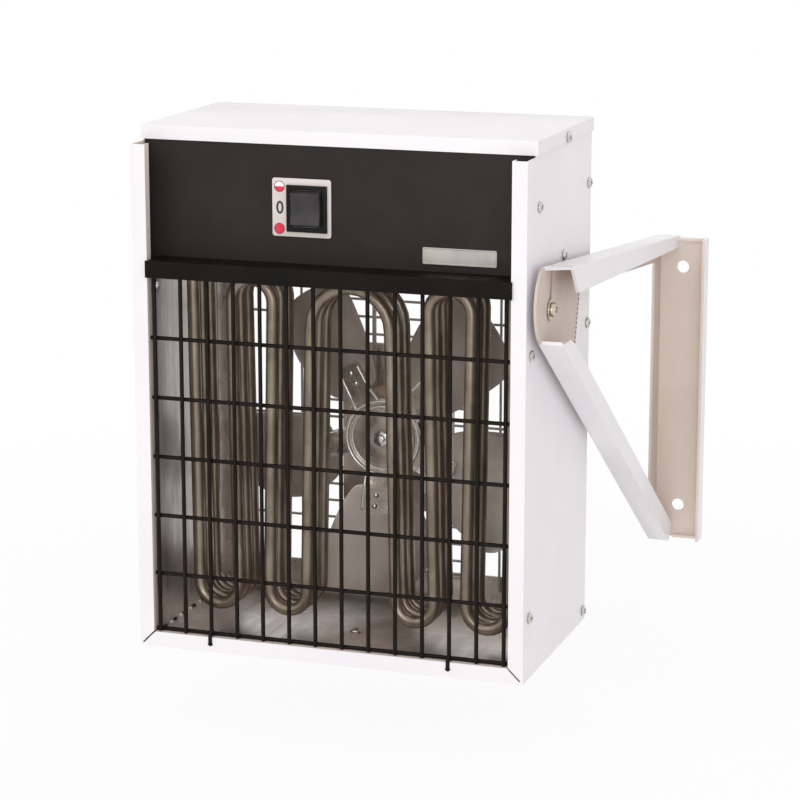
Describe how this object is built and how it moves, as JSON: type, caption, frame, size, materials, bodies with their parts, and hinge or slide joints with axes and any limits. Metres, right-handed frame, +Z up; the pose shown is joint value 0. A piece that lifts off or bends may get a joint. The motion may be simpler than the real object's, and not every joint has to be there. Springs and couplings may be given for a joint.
{
  "type": "fan heater",
  "caption": "Folded-sheet electric fan heater with wire grille, serpentine heating elements and axial fan, tilting on a triangular wall or ceiling bracket.",
  "frame": {"origin": "middle of the bracket's wall plate, on its back face, half-way between its two screw holes", "axes": "+Z up, +Y into the wall, -Y the way the warm air leaves, +X to the right seen from the front"},
  "size_m": [0.3209, 0.3495, 0.3586],
  "materials": {
    "white_paint": "semi-gloss white powder paint",
    "beige_coat": "satin beige backing coat",
    "black_paint": "fine-grained black paint",
    "black_wire": "satin black-brown coating on wire",
    "galvanised": "shiny galvanised sheet",
    "guard_wire": "grey zinc-plated wire",
    "element_metal": "heat-tinted dark bronze tube",
    "fan_metal": "dull grey-taupe sheet",
    "bright_metal": "bright zinc plating",
    "motor_metal": "plain grey motor can",
    "pale_plastic": "matte pale grey",
    "dark_plastic": "satin near-black",
    "badge_metal": "satin plain plate"
  },
  "bodies": {
    "bracket": {"wall_bracket": "white_paint"},
    "heater": {"casing_wrap": "white_paint", "lid": "white_paint", "rear_panel": "beige_coat", "inner_liner": "galvanised", "compartment_floor": "galvanised", "rear_guard": "guard_wire", "motor_plate": "galvanised", "front_panel": "black_paint", "grille_top_bar": "black_paint", "front_grille": "black_wire", "heating_element_1": "element_metal", "heating_element_2": "element_metal", "heating_element_3": "element_metal", "motor": "motor_metal", "motor_lead": "pale_plastic", "switch_plate": "pale_plastic", "switch_housing": "dark_plastic", "badge_plate": "badge_metal", "terminal_block": "pale_plastic", "thermal_cutout": "dark_plastic", "cable_gland": "dark_plastic", "pivot_insert_right": "bright_metal", "pivot_insert_left": "bright_metal", "pivot_spacer": "dark_plastic", "pivot_washer": "bright_metal", "pivot_bolt": "bright_metal", "screw_right_panel": "bright_metal", "screw_right_rear_top": "bright_metal", "screw_right_floor": "bright_metal", "screw_right_liner_top": "bright_metal", "screw_right_rear_middle": "bright_metal", "screw_right_liner_bottom": "bright_metal", "screw_right_rear_bottom": "bright_metal", "screw_right_lid": "bright_metal", "screw_left_panel": "bright_metal", "screw_left_rear_top": "bright_metal", "screw_left_floor": "bright_metal", "screw_left_liner_top": "bright_metal", "screw_left_rear_middle": "bright_metal", "screw_left_liner_bottom": "bright_metal", "screw_left_rear_bottom": "bright_metal", "screw_left_lid": "bright_metal", "screw_liner_floor": "bright_metal"},
    "fan": {"fan_blade_1": "fan_metal", "fan_blade_2": "fan_metal", "fan_blade_3": "fan_metal", "fan_blade_4": "fan_metal", "fan_blade_5": "fan_metal", "fan_spider": "bright_metal", "motor_shaft": "bright_metal", "fan_nut": "bright_metal"},
    "switch_rocker": {"rocker": "dark_plastic"}
  },
  "joints": [
    {"name": "heater_tilt", "type": "hinge", "parent": "bracket", "child": "heater", "pos_m": [-0.019, -0.316, 0.1163], "axis": [1, 0, 0], "range_deg": [-90, 60]},
    {"name": "fan_spin", "type": "hinge", "parent": "heater", "child": "fan", "pos_m": [-0.161, -0.23, 0.0001], "axis": [0, 1, 0], "continuous": true},
    {"name": "rocker_press", "type": "hinge", "parent": "heater", "child": "switch_rocker", "pos_m": [-0.1805, -0.3275, 0.176], "axis": [1, 0, 0], "range_deg": [-12, 12]}
  ]
}
